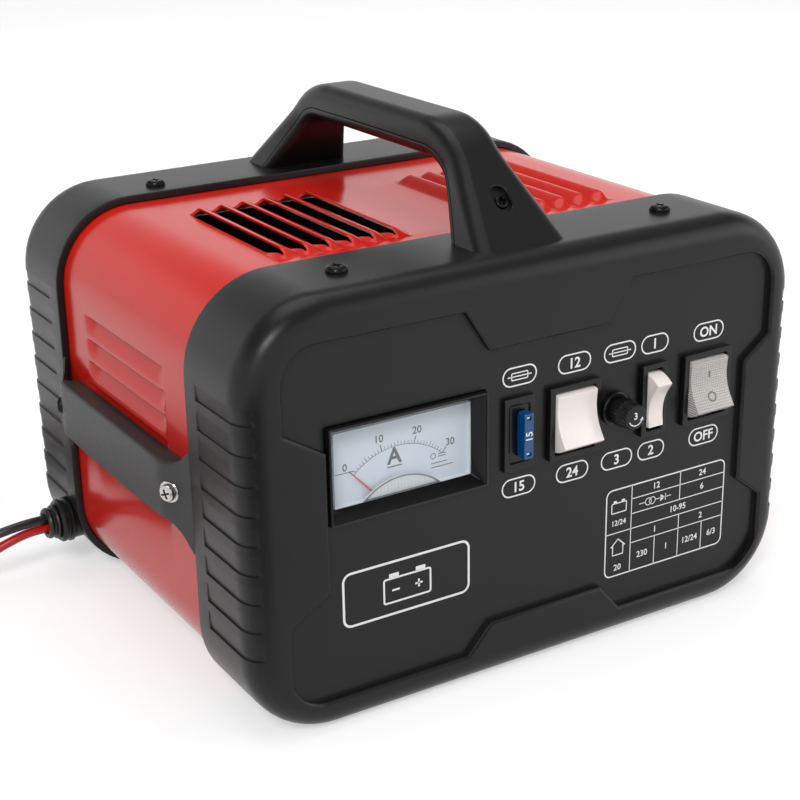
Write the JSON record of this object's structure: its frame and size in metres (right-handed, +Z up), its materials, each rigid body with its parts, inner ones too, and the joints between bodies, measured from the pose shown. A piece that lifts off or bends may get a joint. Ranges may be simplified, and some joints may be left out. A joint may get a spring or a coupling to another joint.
{
  "type": "car battery charger",
  "caption": "Transformer battery charger: ribbed black end bezels round a louvred red steel cover, carry handle, ammeter and switch panel, side strap and clamp-ended output leads.",
  "frame": {"origin": "on the surface it stands on, under the middle of the charger without its free leads", "axes": "+X to the right along the front panel, +Y from the front panel to the rear, +Z up"},
  "size_m": [0.3792, 0.362, 0.216],
  "materials": {
    "black_abs": "fine-grained satin black ABS",
    "red_steel": "gloss red powder coat on sheet steel",
    "zinc_steel": "bright zinc plate",
    "black_screw": "black oxide steel",
    "strap_steel": "satin dark grey powder coat",
    "dial_card": "printed pale blue-white card",
    "clear_lens": "clear polished acrylic",
    "white_plastic": "semi-gloss white moulding",
    "magnet_iron": "dull grey sintered magnet",
    "needle_red": "matt red enamel on aluminium",
    "copper_wire": "enamelled copper wire",
    "fuse_blue": "translucent blue moulding",
    "tin_plate": "bright tin plate",
    "clear_rocker": "clear ribbed moulding",
    "neon_glass": "small neon bulb",
    "brass_tab": "bright brass blades",
    "fuse_glass": "clear thin-walled tube",
    "core_steel": "varnished silicon-steel laminations",
    "sink_aluminium": "mill-finish extrusion",
    "black_nylon": "satin black nylon",
    "red_pvc": "soft satin red insulation",
    "black_pvc": "soft satin black insulation",
    "red_clamp": "glossy red insulated clamp handles",
    "black_clamp": "glossy black insulated clamp handles",
    "spring_steel": "bright spring steel"
  },
  "bodies": {
    "housing": {"front_bezel": "black_abs", "rear_bezel": "black_abs", "wrap_cover": "red_steel", "base_plate": "zinc_steel", "bezel_screws": "black_screw", "base_screws": "zinc_steel", "handle_outer_shell": "black_abs", "handle_inner_shell": "black_abs", "handle_screws": "black_screw", "handle_bolts": "zinc_steel", "side_bracket": "strap_steel", "bracket_screws": "zinc_steel", "meter_housing": "black_abs", "meter_dial": "dial_card", "meter_lens": "clear_lens", "meter_pivot_cover": "white_plastic", "meter_magnet": "magnet_iron", "blade_fuse_holder": "black_abs", "voltage_switch_housing": "black_abs", "boost_switch_housing": "black_abs", "power_switch_housing": "black_abs", "power_lamp": "neon_glass", "switch_terminals": "brass_tab", "fuse_socket": "black_abs", "fuse_socket_nut": "black_abs", "transformer_core": "core_steel", "coil_bobbin": "white_plastic", "primary_winding": "copper_wire", "secondary_winding": "copper_wire", "core_frame": "zinc_steel", "core_bolts": "zinc_steel", "heat_sink": "sink_aluminium", "bridge_rectifier": "black_nylon", "thermal_cutout": "black_nylon", "mains_gland": "black_nylon", "lead_gland": "black_nylon", "red_lead": "red_pvc", "black_lead": "black_pvc", "red_lead_coil": "red_pvc", "black_lead_coil": "black_pvc", "lead_tie": "black_nylon", "red_clamp_fixed_arm": "red_clamp", "red_clamp_pin": "spring_steel", "red_clamp_spring": "spring_steel", "black_clamp_fixed_arm": "black_clamp", "black_clamp_pin": "spring_steel", "black_clamp_spring": "spring_steel"},
    "voltage_rocker": {"voltage_rocker": "white_plastic"},
    "boost_rocker": {"boost_rocker": "white_plastic"},
    "power_rocker": {"power_rocker": "clear_rocker"},
    "needle": {"meter_needle": "needle_red", "meter_coil": "copper_wire"},
    "blade_fuse": {"blade_fuse": "fuse_blue", "blade_fuse_element": "tin_plate"},
    "glass_fuse": {"glass_fuse_tube": "fuse_glass", "glass_fuse_caps": "tin_plate"},
    "fuse_cap": {"fuse_cap": "black_abs"},
    "red_jaw": {"red_clamp_moving_arm": "red_clamp"},
    "black_jaw": {"black_clamp_moving_arm": "black_clamp"}
  },
  "joints": [
    {"name": "voltage_switch", "type": "hinge", "parent": "housing", "child": "voltage_rocker", "pos_m": [0.02065, -0.1028, 0.1034], "axis": [1, 0, 0], "range_deg": [0, 28]},
    {"name": "boost_switch", "type": "hinge", "parent": "housing", "child": "boost_rocker", "pos_m": [0.06075, -0.1028, 0.1034], "axis": [1, 0, 0], "range_deg": [-28, 0]},
    {"name": "power_switch", "type": "hinge", "parent": "housing", "child": "power_rocker", "pos_m": [0.08875, -0.1028, 0.1034], "axis": [1, 0, 0], "range_deg": [0, 28]},
    {"name": "needle_swing", "type": "hinge", "parent": "housing", "child": "needle", "pos_m": [-0.05475, -0.0968, 0.0784], "axis": [0, 1, 0], "range_deg": [0, 86], "stiffness_Nm_per_rad": 0.0002},
    {"name": "blade_fuse_pull", "type": "slide", "parent": "housing", "child": "blade_fuse", "axis": [0, -1, 0], "range_m": [0, 0.022]},
    {"name": "glass_fuse_pull", "type": "slide", "parent": "housing", "child": "glass_fuse", "axis": [0, -1, 0], "range_m": [0, 0.036]},
    {"name": "fuse_cap_turn", "type": "hinge", "parent": "glass_fuse", "child": "fuse_cap", "pos_m": [0.04275, -0.1118, 0.1034], "axis": [0, -1, 0], "range_deg": [0, 90]},
    {"name": "red_clamp_open", "type": "hinge", "parent": "housing", "child": "red_jaw", "pos_m": [-0.20625, 0.2122, 0.007], "axis": [0, 0, 1], "range_deg": [0, 25], "stiffness_Nm_per_rad": 0.4, "springref_deg": -28.65},
    {"name": "black_clamp_open", "type": "hinge", "parent": "housing", "child": "black_jaw", "pos_m": [-0.15925, 0.2122, 0.007], "axis": [0, 0, 1], "range_deg": [-25, 0], "stiffness_Nm_per_rad": 0.4, "springref_deg": 28.65}
  ]
}
